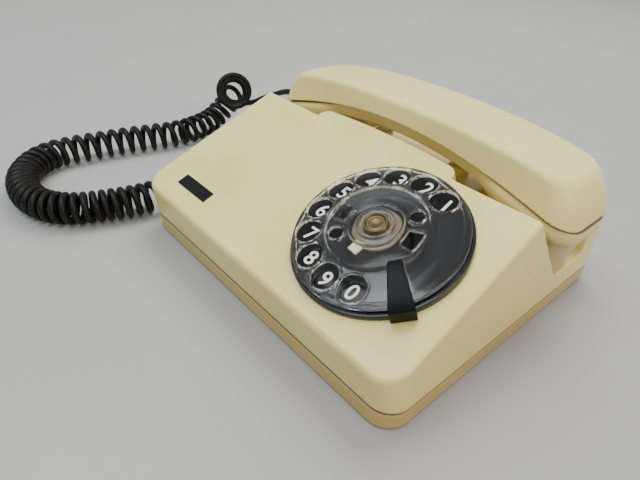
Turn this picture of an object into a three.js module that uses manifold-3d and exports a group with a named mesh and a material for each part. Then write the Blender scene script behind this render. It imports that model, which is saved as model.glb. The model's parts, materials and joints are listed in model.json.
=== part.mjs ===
// A rotary desk telephone: wedge housing with a raised bridge, clear finger wheel, handset across the
// rear, curly handset cord, and the dial works, hook switch, ringer and circuit board inside.
// Millimetres. +Z up, +Y towards the rear, +X to the user's right. The origin is on the table, under
// the middle of the housing.
import * as THREE from "three";
import { mergeVertices } from "three/addons/utils/BufferGeometryUtils.js";
import Module from "manifold-3d";

const wasm = await Module();
wasm.setup();

// ---------------------------------------------------------------- driving dimensions
const WALL = 2.6; // plastic wall of the housing
const GAP = 0.3; // clearance between neighbours
const BODY = { width: 193, depth: 174, corner: 16, draft: 2.5 };
const SEAM = 10.6; // height of the joint between base pan and housing
const LIP = { y: -2.1, z: 67.8 }; // top of the sloping face, where the handset trough starts
const SLOPE = THREE.MathUtils.degToRad(23); // fall of the top towards the user
const CREST_Y = 4.4; // the bridge runs on this far past the lip
const SADDLE_Z = 51; // floor of the finger space under the handle
const BRIDGE_HALF = 47; // half width of the bridge between the cup recesses
const RECESS = { floor: 24.4, outer: 91.5, rear: 64 };
const DIAL = { x: 45.1, y: -45.5, z: 49.4, tilt: THREE.MathUtils.degToRad(24.3) };
const WHEEL = { radius: 39, holes: 10, holeRadius: 6, holeRing: 30.9, pitch: 25.5, first: 64.4 };
const HANDSET = { half: 101.2, y: 35.2, width: 48.2, corner: 13, wall: 2.4, cupX: 74.5, floor: 25 };
const PLUNGER = { x: 28, radius: 3.2 };
const CORD = { radius: 2.15, coilRadius: 9.8 };

// ---------------------------------------------------------------- colours
const CREAM = { color: 0xd8d0a8, roughness: 0.45 };
const PAN = { color: 0xcbb987, roughness: 0.5 };
const BLACK = { color: 0x141414, roughness: 0.35 };
const RUBBER = { color: 0x1c1b1a, roughness: 0.8 };
const CLEAR = { color: 0xdfe3e6, roughness: 0.1, transparent: true, opacity: 0.35 };
const BRASS = { color: 0xb89a55, roughness: 0.3, metalness: 1 };
const STEEL = { color: 0xb9bcc0, roughness: 0.35, metalness: 1 };
const PAPER_BOARD = { color: 0x7a5a2c, roughness: 0.6 };
const COPPER = { color: 0x8f4a26, roughness: 0.5, metalness: 0.6 };
const BLUE = { color: 0x2c4a7c, roughness: 0.5 };
const WHITE = { color: 0xe4e2da, roughness: 0.5 };

// ---------------------------------------------------------------- solids
function solidOf(geometry) {
  const bare = geometry.index ? geometry.toNonIndexed() : geometry.clone();
  const merged = mergeVertices(
    new THREE.BufferGeometry().setAttribute("position", bare.getAttribute("position")),
    1e-4,
  );
  return new wasm.Manifold(
    new wasm.Mesh({
      numProp: 3,
      vertProperties: merged.attributes.position.array,
      triVerts: new Uint32Array(merged.index.array),
    }),
  );
}

function geometryOf(solid) {
  const mesh = solid.getMesh();
  const geometry = new THREE.BufferGeometry();
  geometry.setAttribute("position", new THREE.BufferAttribute(mesh.vertProperties, 3));
  geometry.setIndex(new THREE.BufferAttribute(mesh.triVerts, 1));
  geometry.computeVertexNormals();
  return geometry;
}

function box(width, depth, height, x, y, z) {
  return solidOf(new THREE.BoxGeometry(width, depth, height).translate(x, y, z));
}

// A straight prism of a flat outline; axis says which way it runs.
const TURN = {
  x: new THREE.Matrix4().makeBasis(
    new THREE.Vector3(0, 1, 0),
    new THREE.Vector3(0, 0, 1),
    new THREE.Vector3(1, 0, 0),
  ),
  y: new THREE.Matrix4().makeBasis(
    new THREE.Vector3(1, 0, 0),
    new THREE.Vector3(0, 0, 1),
    new THREE.Vector3(0, -1, 0),
  ),
  z: new THREE.Matrix4(),
};

function shapeOf(points) {
  return new THREE.Shape(points.map(([u, v]) => new THREE.Vector2(u, v)));
}

function prism(axis, shape, from, to) {
  const outline = Array.isArray(shape) ? shapeOf(shape) : shape;
  const options = { depth: to - from, bevelEnabled: false, curveSegments: 4 };
  const geometry = new THREE.ExtrudeGeometry(outline, options).applyMatrix4(TURN[axis]);
  if (axis === "x") geometry.translate(from, 0, 0);
  if (axis === "y") geometry.translate(0, to, 0);
  if (axis === "z") geometry.translate(0, 0, from);
  return solidOf(geometry);
}

// A body of revolution about +Z from a closed outline of [radius, height] points.
function lathe(points, segments = 24) {
  const closed = [...points, points[0]].map(([r, z]) => new THREE.Vector2(r, z));
  const area = closed.reduce((sum, p, i) => {
    const q = closed[(i + 1) % closed.length];
    return sum + p.x * q.y - q.x * p.y;
  }, 0);
  const ordered = area > 0 ? closed : closed.reverse();
  return solidOf(new THREE.LatheGeometry(ordered, segments).rotateX(Math.PI / 2));
}

function rod(radius, from, to, segments = 16) {
  const height = to - from;
  const geometry = new THREE.CylinderGeometry(radius, radius, height, segments);
  return solidOf(geometry.rotateX(Math.PI / 2).translate(0, 0, from + height / 2));
}

function place(solid, x, y, z) {
  return solid.translate([x, y, z]);
}

function alongX(solid) {
  return solid.rotate([0, 90, 0]);
}

function alongY(solid) {
  return solid.rotate([-90, 0, 0]);
}

function roundedRect(width, depth, radius) {
  const a = width / 2;
  const b = depth / 2;
  const shape = new THREE.Shape();
  shape.absarc(a - radius, b - radius, radius, 0, Math.PI / 2);
  shape.absarc(radius - a, b - radius, radius, Math.PI / 2, Math.PI);
  shape.absarc(radius - a, radius - b, radius, Math.PI, 1.5 * Math.PI);
  shape.absarc(a - radius, radius - b, radius, 1.5 * Math.PI, 2 * Math.PI);
  shape.closePath();
  return shape;
}

// An outline moved inwards by a distance, with mitred corners; a negative distance moves it out.
function inset(points, distance) {
  const area = points.reduce((sum, [x, y], i) => {
    const [nx, ny] = points[(i + 1) % points.length];
    return sum + x * ny - nx * y;
  }, 0);
  const side = Math.sign(area);
  return points.map(([x, y], i) => {
    const [px, py] = points.at(i - 1);
    const [nx, ny] = points[(i + 1) % points.length];
    const a = new THREE.Vector2(x - px, y - py).normalize();
    const b = new THREE.Vector2(nx - x, ny - y).normalize();
    const na = new THREE.Vector2(-a.y, a.x).multiplyScalar(side);
    const nb = new THREE.Vector2(-b.y, b.x).multiplyScalar(side);
    const bisector = na.clone().add(nb).normalize();
    const reach = distance / bisector.dot(na);
    return [x + bisector.x * reach, y + bisector.y * reach];
  });
}

// A tube of round section along a smooth route.
function tube(points, radius, sides, steps) {
  const route = new THREE.CatmullRomCurve3(points.map((p) => new THREE.Vector3(...p)));
  const section = new THREE.Shape(
    Array.from({ length: sides }, (_, i) => {
      const angle = (2 * Math.PI * i) / sides;
      return new THREE.Vector2(radius * Math.cos(angle), radius * Math.sin(angle));
    }),
  );
  return solidOf(new THREE.ExtrudeGeometry(section, { steps, extrudePath: route }));
}

function gearShape(teeth, root, tip) {
  const points = [];
  for (let i = 0; i < teeth; i += 1) {
    const steps = [
      [root, -0.3],
      [tip, -0.16],
      [tip, 0.16],
      [root, 0.3],
    ];
    for (const [radius, share] of steps) {
      const angle = ((i + share) * 2 * Math.PI) / teeth;
      points.push([radius * Math.cos(angle), radius * Math.sin(angle)]);
    }
  }
  return shapeOf(points);
}

// ---------------------------------------------------------------- scene graph
const phone = new THREE.Group();
const dial = new THREE.Group();
dial.position.set(DIAL.x, DIAL.y, DIAL.z);
dial.rotation.x = DIAL.tilt;
phone.add(dial);

function addMesh(parent, name, solid, finish) {
  const mesh = new THREE.Mesh(geometryOf(solid), new THREE.MeshStandardMaterial(finish));
  mesh.name = name;
  parent.add(mesh);
}

// Moves a solid from the dial's own frame to the phone's frame.
function fromDial(solid) {
  return solid.rotate([THREE.MathUtils.radToDeg(DIAL.tilt), 0, 0]).translate([DIAL.x, DIAL.y, DIAL.z]);
}

// ---------------------------------------------------------------- housing
const topZ = (y) => LIP.z + (y - LIP.y) * Math.tan(SLOPE);
const SCREW_POSTS = [
  [-84, -72],
  [84, -72],
  [-40, 74],
  [40, 74],
];
const GLAND = { y: -46, z: 15 };
const INLET = { x: -30, z: 15 };
const BADGE = { x: -61.2, y: -76.6, width: 27.5, depth: 7.6 };

// The plan outline extruded upwards, its sides leaning in by the draft angle.
function draftedBlock(width, depth, corner, low, high) {
  const shape = roundedRect(width, depth, corner);
  const geometry = new THREE.ExtrudeGeometry(shape, { depth: high - low, bevelEnabled: false, curveSegments: 4 });
  const lean = Math.tan(THREE.MathUtils.degToRad(BODY.draft));
  const position = geometry.getAttribute("position");
  for (let i = 0; i < position.count; i += 1) {
    const z = position.getZ(i) + low;
    const shrink = lean * (z - SEAM);
    position.setXYZ(
      i,
      position.getX(i) * (1 - (2 * shrink) / width),
      position.getY(i) * (1 - (2 * shrink) / depth),
      z,
    );
  }
  return solidOf(geometry);
}

function sideProfile(bottom) {
  return [
    [-100, bottom],
    [100, bottom],
    [100, 43.5],
    [84, 45],
    [64, 48.5],
    [56, SADDLE_Z],
    [13.5, SADDLE_Z],
    [7, 67],
    [CREST_Y, topZ(CREST_Y)],
    [-100, topZ(-100)],
  ];
}

const recessProfile = [
  [LIP.y, LIP.z],
  [10, 29],
  [14, RECESS.floor],
  [58, RECESS.floor],
  [62, 29],
  [RECESS.rear, 47],
  [RECESS.rear, 110],
  [LIP.y, 110],
];

const cutawayProfile = [
  [LIP.y, LIP.z],
  [32.4, RECESS.floor],
  [58, RECESS.floor],
  [62, 29],
  [RECESS.rear, 47],
  [RECESS.rear, 110],
  [LIP.y, 110],
];

function bothSides(make) {
  return make(1).add(make(-1));
}

function spanX(profile, side, near, far) {
  return side > 0 ? prism("x", profile, near, far) : prism("x", profile, -far, -near);
}

function makeHousing() {
  const outer = draftedBlock(BODY.width, BODY.depth, BODY.corner, SEAM, 100);
  const recess = bothSides((side) => spanX(recessProfile, side, BRIDGE_HALF, RECESS.outer));
  const cutaway = bothSides((side) => spanX(cutawayProfile, side, RECESS.outer - 0.5, 110));
  const solid = outer.intersect(prism("x", sideProfile(SEAM), -110, 110)).subtract(recess).subtract(cutaway);

  const inner = draftedBlock(BODY.width - 2 * WALL, BODY.depth - 2 * WALL, BODY.corner - WALL, 0, 100);
  const lining = bothSides((side) => spanX(inset(recessProfile, -WALL), side, BRIDGE_HALF - WALL, 110));
  const hollow = inner.intersect(prism("x", inset(sideProfile(0), WALL), -110, 110)).subtract(lining);
  let housing = solid.subtract(hollow);

  for (const [x, y] of SCREW_POSTS) {
    const post = place(rod(3.6, 4.4, 60, 10), x, y, 0).intersect(hollow.add(solid));
    housing = housing.add(post).subtract(place(rod(1.8, 0, 20, 8), x, y, 0));
  }

  housing = housing.subtract(fromDial(rod(36.4, -20, 8, 44)));
  housing = housing.subtract(fromDial(rod(41, -0.8, 12, 44)));
  for (const side of [-1, 1]) {
    const x = side * PLUNGER.x;
    housing = housing.add(place(rod(6, SADDLE_Z - 1, 56.5, 16), x, HANDSET.y, 0));
    housing = housing.subtract(place(rod(PLUNGER.radius + 0.4, 45, 70, 16), x, HANDSET.y, 0));
  }
  housing = housing.subtract(place(alongX(rod(3.7, -6, 6, 20)), -BODY.width / 2, GLAND.y, GLAND.z));
  housing = housing.subtract(place(alongY(rod(4.6, -6, 6, 20)), INLET.x, BODY.depth / 2, INLET.z));
  const pocket = solidOf(
    new THREE.BoxGeometry(BADGE.width + 0.6, BADGE.depth + 0.6, 1.6)
      .rotateX(SLOPE)
      .translate(BADGE.x, BADGE.y, topZ(BADGE.y)),
  );
  return housing.subtract(pocket);
}

function makeBadge() {
  const thick = 0.7;
  const geometry = new THREE.BoxGeometry(BADGE.width, BADGE.depth, thick).translate(0, 0, -0.05);
  return solidOf(geometry.rotateX(SLOPE).translate(BADGE.x, BADGE.y, topZ(BADGE.y)));
}

addMesh(phone, "housing", makeHousing(), CREAM);
addMesh(phone, "badge_plate", makeBadge(), BLACK);

// ---------------------------------------------------------------- base pan, feet and screws
const PAN_LOW = 1.6;
const PAN_FLOOR = 4;
const FEET = [
  ["foot_front_left", -76, -66],
  ["foot_front_right", 76, -66],
  ["foot_rear_left", -76, 68],
  ["foot_rear_right", 76, 68],
];
const BOARD = { x: -43, y: -64, width: 70, depth: 32, top: 10.5, thick: 1.6 };
const BOARD_POSTS = [
  [-74, -52],
  [-12, -52],
  [-74, -76],
  [-12, -76],
];

function makeBasePan() {
  const width = BODY.width - 1.6;
  const depth = BODY.depth;
  let pan = prism("z", roundedRect(width, depth, BODY.corner), PAN_LOW, SEAM - GAP);
  const inside = roundedRect(width - 2 * WALL, depth - 2 * WALL, BODY.corner - WALL);
  pan = pan.subtract(prism("z", inside, PAN_FLOOR, 20));
  for (const [, x, y] of FEET) pan = pan.subtract(place(rod(7.4, 0, 2.6), x, y, 0));
  for (const [x, y] of SCREW_POSTS) {
    pan = pan.subtract(place(rod(3.2, 0, 2.9, 12), x, y, 0));
    pan = pan.subtract(place(rod(1.8, 0, 6, 8), x, y, 0));
  }
  for (const [x, y] of BOARD_POSTS) pan = pan.add(place(rod(2.4, PAN_FLOOR - 0.5, 8.6, 8), x, y, 0));
  for (let i = 0; i < 4; i += 1) pan = pan.subtract(box(3, 26, 10, 52 + 8 * i, 20, PAN_FLOOR));
  return pan;
}

function makeFoot() {
  return lathe([
    [0, 0],
    [6.2, 0],
    [7, 0.7],
    [7, 2.3],
    [0, 2.3],
  ], 24);
}

addMesh(phone, "base_pan", makeBasePan(), PAN);
for (const [name, x, y] of FEET) addMesh(phone, name, place(makeFoot(), x, y, 0), RUBBER);

// A screw with its head at the low end.
function screw(headRadius, headHeight, shankRadius, low, high) {
  const points = [
    [0, low],
    [headRadius, low],
    [headRadius, low + headHeight],
    [shankRadius, low + headHeight],
    [shankRadius, high],
    [0, high],
  ];
  return lathe(points, 12);
}

SCREW_POSTS.forEach(([x, y], i) => {
  addMesh(phone, `housing_screw_${i + 1}`, place(screw(2.8, 0.8, 1.4, 1.9, 17), x, y, 0), STEEL);
});

// ---------------------------------------------------------------- glands
function makeCordGland() {
  const points = [
    [2.3, -5.5],
    [3.3, -5.5],
    [3.3, 0.5],
    [4.8, 0.5],
    [4.8, 1.9],
    [3.8, 2.8],
    [0, 2.8],
    [0, -3],
    [2.3, -3],
  ];
  return place(alongX(lathe(points, 20)).rotate([0, 0, 180]), -BODY.width / 2, GLAND.y, GLAND.z);
}

function makeInlet() {
  const points = [
    [2.3, -6],
    [6.2, -6],
    [6.2, -3.6],
    [4.2, -3.6],
    [4.2, -0.6],
    [2.3, -0.6],
  ];
  return place(alongY(lathe(points, 20)), INLET.x, BODY.depth / 2, INLET.z);
}

addMesh(phone, "cord_gland", makeCordGland(), RUBBER);
addMesh(phone, "line_cord_inlet", makeInlet(), RUBBER);

// ---------------------------------------------------------------- dial, in its own tilted frame
const CASE_BACK = -9;

function makeDialCase() {
  const points = [
    [4.5, CASE_BACK],
    [35.6, CASE_BACK],
    [35.6, -0.5],
    [40.2, -0.5],
    [40.2, 3],
    [33, 3],
    [33, CASE_BACK + 2],
    [4.5, CASE_BACK + 2],
  ];
  return lathe(points, 44);
}

function makeNumberPlate() {
  return lathe([
    [8, 3.3],
    [37.6, 3.3],
    [37.6, 4.3],
    [8, 4.3],
  ], 44);
}

function sector(inner, outer, middle, half) {
  const centre = THREE.MathUtils.degToRad(middle);
  const spread = THREE.MathUtils.degToRad(half);
  const shape = new THREE.Shape();
  shape.absarc(0, 0, outer, centre - spread, centre + spread);
  shape.absarc(0, 0, inner, centre + spread, centre - spread, true);
  shape.closePath();
  return shape;
}

function polar(radius, degrees) {
  const angle = THREE.MathUtils.degToRad(degrees);
  return [radius * Math.cos(angle), radius * Math.sin(angle)];
}

function makeFingerWheel() {
  const points = [
    [6.6, 11.5],
    [22.2, 10.8],
    [23.7, 9.4],
    [36.6, 6.8],
    [WHEEL.radius, 6.8],
    [WHEEL.radius, 5.1],
    [36.8, 5.1],
    [23, 8.3],
    [6.6, 9.3],
  ];
  let wheel = lathe(points, 36);
  for (let i = 0; i < WHEEL.holes; i += 1) {
    const [x, y] = polar(WHEEL.holeRing, WHEEL.first + i * WHEEL.pitch);
    wheel = wheel.subtract(place(rod(WHEEL.holeRadius, 0, 20, 10), x, y, 0));
  }
  for (const turn of [0, 180]) {
    const [x, y] = polar(17.5, 50 + turn);
    wheel = wheel.subtract(place(rod(3.2, 0, 20, 8), x, y, 0));
    wheel = wheel.subtract(prism("z", sector(14.5, 21.8, 10 + turn, 14), 0, 20));
  }
  return wheel;
}

function makeClamp() {
  const disc = lathe([
    [2.8, 5.2],
    [12, 5.2],
    [12, 7.2],
    [2.8, 7.2],
  ], 24);
  return disc.add(box(7, 6, 2, 0, -12.3, 6.2).rotate([0, 0, -5]));
}

function makeCentreCap() {
  return lathe([
    [0, 8.6],
    [5.8, 8.6],
    [6.2, 9],
    [6.2, 12],
    [5.2, 12.3],
    [4.6, 11.2],
    [0, 11],
  ], 20);
}

// The stop arches over the rim of the wheel from a foot on the housing.
function makeFingerStop() {
  const side = [
    [0, 11.7],
    [0, 13.2],
    [2, 13.6],
    [15, 10.9],
    [19.4, 9.7],
    [21.2, 8.2],
    [21.2, 0.9],
    [19.2, 0.9],
    [19.2, 7.4],
    [16.5, 7.7],
    [14.5, 8.7],
    [2, 11.5],
  ];
  const plan = [
    [-1, -2.8],
    [22, -5.4],
    [22, 5.4],
    [-1, 2.8],
  ];
  const arm = prism("y", side, -8, 8).intersect(prism("z", plan, -1, 20));
  return arm.rotate([0, 0, -42.2]).translate([19.8, -10.1, 0]);
}

const SHAFT_RADIUS = 2.4;
const GEAR = { teeth: 32, pinionTeeth: 8, pitch: 21, pinionPitch: 5.25, low: -14.5, high: -12.5 };
const GOVERNOR_ANGLE = 135;
const GOVERNOR = polar(GEAR.pitch + GEAR.pinionPitch, GOVERNOR_ANGLE);

function ring(inner, outer, low, high, segments) {
  return lathe([
    [inner, low],
    [outer, low],
    [outer, high],
    [inner, high],
  ], segments);
}

function makeDialFrame() {
  let plate = ring(3.2, 31, -11.6, -9.6, 32);
  for (const angle of [15, 75, 195, 255, 315]) {
    const [x, y] = polar(20, angle);
    plate = plate.subtract(place(rod(5, -20, 0, 10), x, y, 0));
  }
  return plate.subtract(place(rod(2.2, -20, 0, 12), ...GOVERNOR, 0));
}

function makeMainGear() {
  const gear = prism("z", gearShape(GEAR.teeth, 19.7, 22), GEAR.low, GEAR.high);
  let wheel = gear.subtract(rod(SHAFT_RADIUS + 0.2, -20, 0, 16));
  for (let i = 0; i < 4; i += 1) {
    const [x, y] = polar(11.5, 90 * i);
    wheel = wheel.subtract(place(rod(4.4, -20, 0, 10), x, y, 0));
  }
  return wheel;
}

function makePulseCam() {
  const cam = prism("z", gearShape(10, 11.6, 14), -18, -16);
  return cam.subtract(rod(SHAFT_RADIUS + 0.2, -20, 0, 16));
}

function makeReturnSpring() {
  const turns = 3;
  const start = 6;
  const lead = 2.6;
  const outline = [];
  const edge = (offset, i, steps) => {
    const angle = (2 * Math.PI * turns * i) / steps;
    const radius = start + (lead * angle) / (2 * Math.PI) + offset;
    return [radius * Math.cos(angle), radius * Math.sin(angle)];
  };
  const steps = turns * 14;
  for (let i = 0; i <= steps; i += 1) outline.push(edge(0.4, i, steps));
  for (let i = steps; i >= 0; i -= 1) outline.push(edge(-0.4, i, steps));
  return prism("z", outline, -5.5, -1.5);
}

function makeGovernorRotor() {
  const [x, y] = GOVERNOR;
  const pinion = prism("z", gearShape(GEAR.pinionTeeth, 3.9, 6.1), GEAR.low, GEAR.high).rotate([0, 0, 22.5]);
  const shaft = rod(1.3, -20.5, -9.8, 12);
  const hub = rod(2.6, -19.5, -15.9, 12);
  const bar = box(14, 3, 2.2, 0, 0, -17.6);
  const weights = box(3, 7, 3.2, -6, 0, -17.6).add(box(3, 7, 3.2, 6, 0, -17.6));
  return place(pinion.add(shaft).add(hub).add(bar).add(weights), x, y, 0);
}

function makeGovernorDrum() {
  const cup = lathe([
    [1.8, -22],
    [10.6, -22],
    [10.6, -15.4],
    [9.2, -15.4],
    [9.2, -20.8],
    [1.8, -20.8],
  ], 24);
  return place(cup, ...GOVERNOR, 0);
}

addMesh(dial, "dial_case", makeDialCase(), BLACK);
addMesh(dial, "number_plate", makeNumberPlate(), BLACK);
addMesh(dial, "finger_wheel", makeFingerWheel(), CLEAR);
addMesh(dial, "wheel_clamp", makeClamp(), WHITE);
addMesh(dial, "centre_cap", makeCentreCap(), BRASS);
addMesh(dial, "finger_stop", makeFingerStop(), BLACK);
addMesh(dial, "dial_shaft", rod(SHAFT_RADIUS, -20.5, 8.2, 20), STEEL);
addMesh(dial, "dial_frame", makeDialFrame(), STEEL);
addMesh(dial, "return_spring", makeReturnSpring(), STEEL);
addMesh(dial, "main_gear", makeMainGear(), BRASS);
addMesh(dial, "pulse_cam", makePulseCam(), WHITE);
addMesh(dial, "governor_rotor", makeGovernorRotor(), BRASS);
addMesh(dial, "governor_drum", makeGovernorDrum(), STEEL);
addMesh(dial, "pulse_contact_block", box(9, 6, 9, 18, -21, -16.4), RUBBER);
[15.4, 18.4].forEach((x, i) => {
  addMesh(dial, `pulse_contact_${i + 1}`, box(0.5, 23, 3, x, -6.2, -17.2), BRASS);
});

// ---------------------------------------------------------------- handset
const HALF = HANDSET.half;
const spread = (x) => (x / HALF) ** 2;
const partingZ = (x) => 75.4 - 18.7 * (1.12 * spread(x) - 0.12 * spread(x) ** 2);
const crownZ = (x) => 86.5 - 11.8 * spread(x);
const underZ = (x) => 63.8 - 0.0016 * x * x;

function sampled(from, to, count, z) {
  return Array.from({ length: count + 1 }, (_, i) => {
    const x = from + ((to - from) * i) / count;
    return [x, z(x)];
  });
}

function handsetPlan(wall) {
  const shape = roundedRect(HANDSET.width - 2 * wall, 2 * (HALF - wall), HANDSET.corner - wall);
  return prism("z", shape, 0, 120).rotate([0, 0, 90]).translate([0, HANDSET.y, 0]);
}

function upperOutline(wall, drop) {
  const end = HALF - wall;
  const top = end - 3;
  return [
    ...sampled(-end, end, 10, (x) => partingZ(x) - drop),
    [end - 0.7, partingZ(end) + 4],
    [top, crownZ(top) - wall - 2.5],
    ...sampled(top - 2.5, 2.5 - top, 12, (x) => crownZ(x) - wall),
    [-top, crownZ(top) - wall - 2.5],
    [0.7 - end, partingZ(end) + 4],
  ];
}

const HANDSET_SCREW_X = 45;

function makeHandsetUpper() {
  const span = [HANDSET.y - 30, HANDSET.y + 30];
  const wall = HANDSET.wall;
  const outer = prism("y", upperOutline(0, 0), ...span).intersect(handsetPlan(0));
  const inner = prism("y", upperOutline(wall, 3), ...span).intersect(handsetPlan(wall));
  let shell = outer.subtract(inner);
  for (const side of [-1, 1]) {
    const x = side * HANDSET_SCREW_X;
    const post = place(rod(3.4, 65, 90, 14), x, HANDSET.y, 0).intersect(inner.add(outer));
    shell = shell.add(post).subtract(place(rod(1.6, 60, 79, 12), x, HANDSET.y, 0));
  }
  return shell;
}

// The lower shell is a shallow tray that follows the parting line, with a tapered cup near each end.
function lowerBody(wall, lift) {
  const end = HALF - wall;
  const tray = [
    ...sampled(-end, end, 10, (x) => partingZ(x) - 0.4 + lift),
    ...sampled(end, 62, 2, (x) => partingZ(x) - 6.4 + wall),
    [52, 58.6 + wall],
    ...sampled(44, -44, 4, (x) => underZ(x) + wall),
    [-52, 58.6 + wall],
    ...sampled(-62, -end, 2, (x) => partingZ(x) - 6.4 + wall),
  ];
  const cup = [
    [0, HANDSET.floor + wall],
    [16 - wall, HANDSET.floor + wall],
    [17.5 - wall, HANDSET.floor + 2 + wall],
    [22.7 - wall, 50],
    [23.6 - wall, 57],
    [23.6 - wall, 70],
    [0, 70],
  ];
  const under = [...sampled(-HALF, HALF, 10, (x) => partingZ(x) - 0.4 + lift), [HALF, 0], [-HALF, 0]];
  const cups = bothSides((side) => place(lathe(cup, 20), side * HANDSET.cupX, HANDSET.y, 0));
  const keep = prism("y", under, HANDSET.y - 40, HANDSET.y + 40);
  const slab = prism("y", tray, HANDSET.y - 30, HANDSET.y + 30);
  return slab.add(cups.intersect(keep)).intersect(handsetPlan(wall));
}

const BUSH = { y: HANDSET.y, z: 53.2 };

function makeHandsetLower() {
  let shell = lowerBody(0, 0).subtract(lowerBody(HANDSET.wall, 4));
  for (const side of [-1, 1]) {
    const cupX = side * HANDSET.cupX;
    for (let i = 0; i < 6; i += 1) {
      const [x, y] = polar(7, 60 * i);
      shell = shell.subtract(place(rod(1.3, 20, 30, 6), cupX + x, HANDSET.y + y, 0));
    }
    const screwX = side * HANDSET_SCREW_X;
    shell = shell.subtract(place(rod(1.6, 50, 70, 12), screwX, HANDSET.y, 0));
    shell = shell.subtract(place(rod(2.9, 50, 62, 14), screwX, HANDSET.y, 0));
  }
  return shell.subtract(place(alongX(rod(2.6, -8, 8, 16)), -HALF, BUSH.y, BUSH.z));
}

function makeCapsule() {
  return lathe([
    [0, 28],
    [13.6, 28],
    [14, 28.6],
    [14, 33],
    [12, 34],
    [12, 39],
    [0, 39],
  ], 20);
}

function makeHandsetBush() {
  const points = [
    [0, -3],
    [2.3, -3],
    [2.3, 0.3],
    [3.8, 0.3],
    [3.8, 2],
    [2.6, 10.8],
    [0, 10.8],
  ];
  return place(alongX(lathe(points, 16)).rotate([0, 0, 180]), -HALF, BUSH.y, BUSH.z);
}

addMesh(phone, "handset_upper_shell", makeHandsetUpper(), CREAM);
addMesh(phone, "handset_lower_shell", makeHandsetLower(), CREAM);
addMesh(phone, "transmitter_capsule", place(makeCapsule(), -HANDSET.cupX, HANDSET.y, 0), STEEL);
addMesh(phone, "receiver_capsule", place(makeCapsule(), HANDSET.cupX, HANDSET.y, 0), STEEL);
[-1, 1].forEach((side, i) => {
  const solid = place(screw(2.5, 1, 1.3, 60.8, 76), side * HANDSET_SCREW_X, HANDSET.y, 0);
  addMesh(phone, `handset_screw_${i + 1}`, solid, STEEL);
});
addMesh(phone, "handset_cord_bush", makeHandsetBush(), RUBBER);

// ---------------------------------------------------------------- hook switch under the bridge
const BAR_Z = 38;

function makePlunger(side) {
  const points = [
    [0, BAR_Z + 3.3],
    [PLUNGER.radius, BAR_Z + 3.3],
    [PLUNGER.radius, 61],
    [2.2, 62],
    [0, 62],
  ];
  return place(lathe(points, 18), side * PLUNGER.x, HANDSET.y, 0);
}

function makeHookSpring() {
  const low = 6.4;
  const high = BAR_Z - 0.4;
  const turns = 5;
  const wire = 0.5;
  const radius = 4;
  const points = [];
  for (let i = 0; i <= turns * 8; i += 1) {
    const angle = (2 * Math.PI * i) / 8;
    const z = low + wire + ((high - low - 2 * wire) * i) / (turns * 8);
    points.push([radius * Math.cos(angle), HANDSET.y + radius * Math.sin(angle), z]);
  }
  return tube(points, wire, 4, turns * 9);
}

function makeSwitchBracket() {
  const channel = [
    [25, 4.3],
    [45.4, 4.3],
    [45.4, 34],
    [44, 34],
    [44, 6],
    [26.4, 6],
    [26.4, 34],
    [25, 34],
  ];
  return prism("x", channel, -14, 14);
}

[-1, 1].forEach((side) => {
  addMesh(phone, side < 0 ? "hook_plunger_left" : "hook_plunger_right", makePlunger(side), WHITE);
});
addMesh(phone, "hook_crossbar", box(68, 6, 3, 0, HANDSET.y, BAR_Z + 1.5), WHITE);
addMesh(phone, "hook_spring", makeHookSpring(), STEEL);
addMesh(phone, "switch_bracket", makeSwitchBracket(), STEEL);
addMesh(phone, "switch_contact_block", box(8, 10, 8, 21, HANDSET.y, 8.3), RUBBER);
addMesh(phone, "switch_contact_fixed", box(0.5, 5, 20, 19, HANDSET.y, 22.6), BRASS);
addMesh(phone, "switch_contact_moving", box(0.5, 5, 23, 21, HANDSET.y, BAR_Z - GAP - 11.5), BRASS);

// ---------------------------------------------------------------- ringer
const RINGER = { x: -42, gongs: [-64, -20], y: -28, radius: 17, pivot: -4, level: 18, coil: 13.6 };

function makeRingerPlate() {
  return box(78, 30, 1.5, RINGER.x, RINGER.y, 5.05).add(box(34, 50, 1.5, RINGER.x, -3, 5.05));
}

function makeGong() {
  return lathe([
    [2, 23],
    [12.5, 22.4],
    [15.8, 20],
    [RINGER.radius, 14],
    [RINGER.radius - 1.2, 14],
    [12, 21.3],
    [2, 21.8],
  ], 24);
}

function makeGongScrew() {
  return lathe([
    [0, 6.1],
    [4, 6.1],
    [1.6, 9],
    [1.6, 23.3],
    [4, 23.3],
    [3.6, 25],
    [0, 25],
  ], 16);
}

function makeClapper() {
  const hub = place(ring(1.6, 3, 12, 21, 16), RINGER.x, RINGER.pivot, 0);
  const arm = box(1.6, 22, 1.6, RINGER.x, RINGER.pivot - 13, RINGER.level);
  const ball = new THREE.SphereGeometry(2.5, 12, 8).translate(RINGER.x, RINGER.y, RINGER.level);
  return hub.add(arm).add(solidOf(ball));
}

function makeRingerCoil() {
  const points = [
    [2.8, -12],
    [7.4, -12],
    [7.4, -10.6],
    [6.4, -10.6],
    [6.4, 10.6],
    [7.4, 10.6],
    [7.4, 12],
    [2.8, 12],
  ];
  return place(alongX(lathe(points, 20)), RINGER.x, 10, RINGER.coil);
}

addMesh(phone, "ringer_plate", makeRingerPlate(), STEEL);
RINGER.gongs.forEach((x, i) => {
  addMesh(phone, i ? "gong_right" : "gong_left", place(makeGong(), x, RINGER.y, 0), BRASS);
  addMesh(phone, `gong_screw_${i + 1}`, place(makeGongScrew(), x, RINGER.y, 0), STEEL);
});
addMesh(phone, "ringer_coil", makeRingerCoil(), COPPER);
addMesh(phone, "ringer_core", place(alongX(rod(2.4, -15, 15)), RINGER.x, 10, RINGER.coil), STEEL);
addMesh(phone, "clapper", makeClapper(), STEEL);
addMesh(phone, "clapper_pivot", place(rod(1.2, 6.1, 23, 12), RINGER.x, RINGER.pivot, 0), STEEL);

// ---------------------------------------------------------------- circuit board
const ON_BOARD = BOARD.top + GAP;

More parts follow.
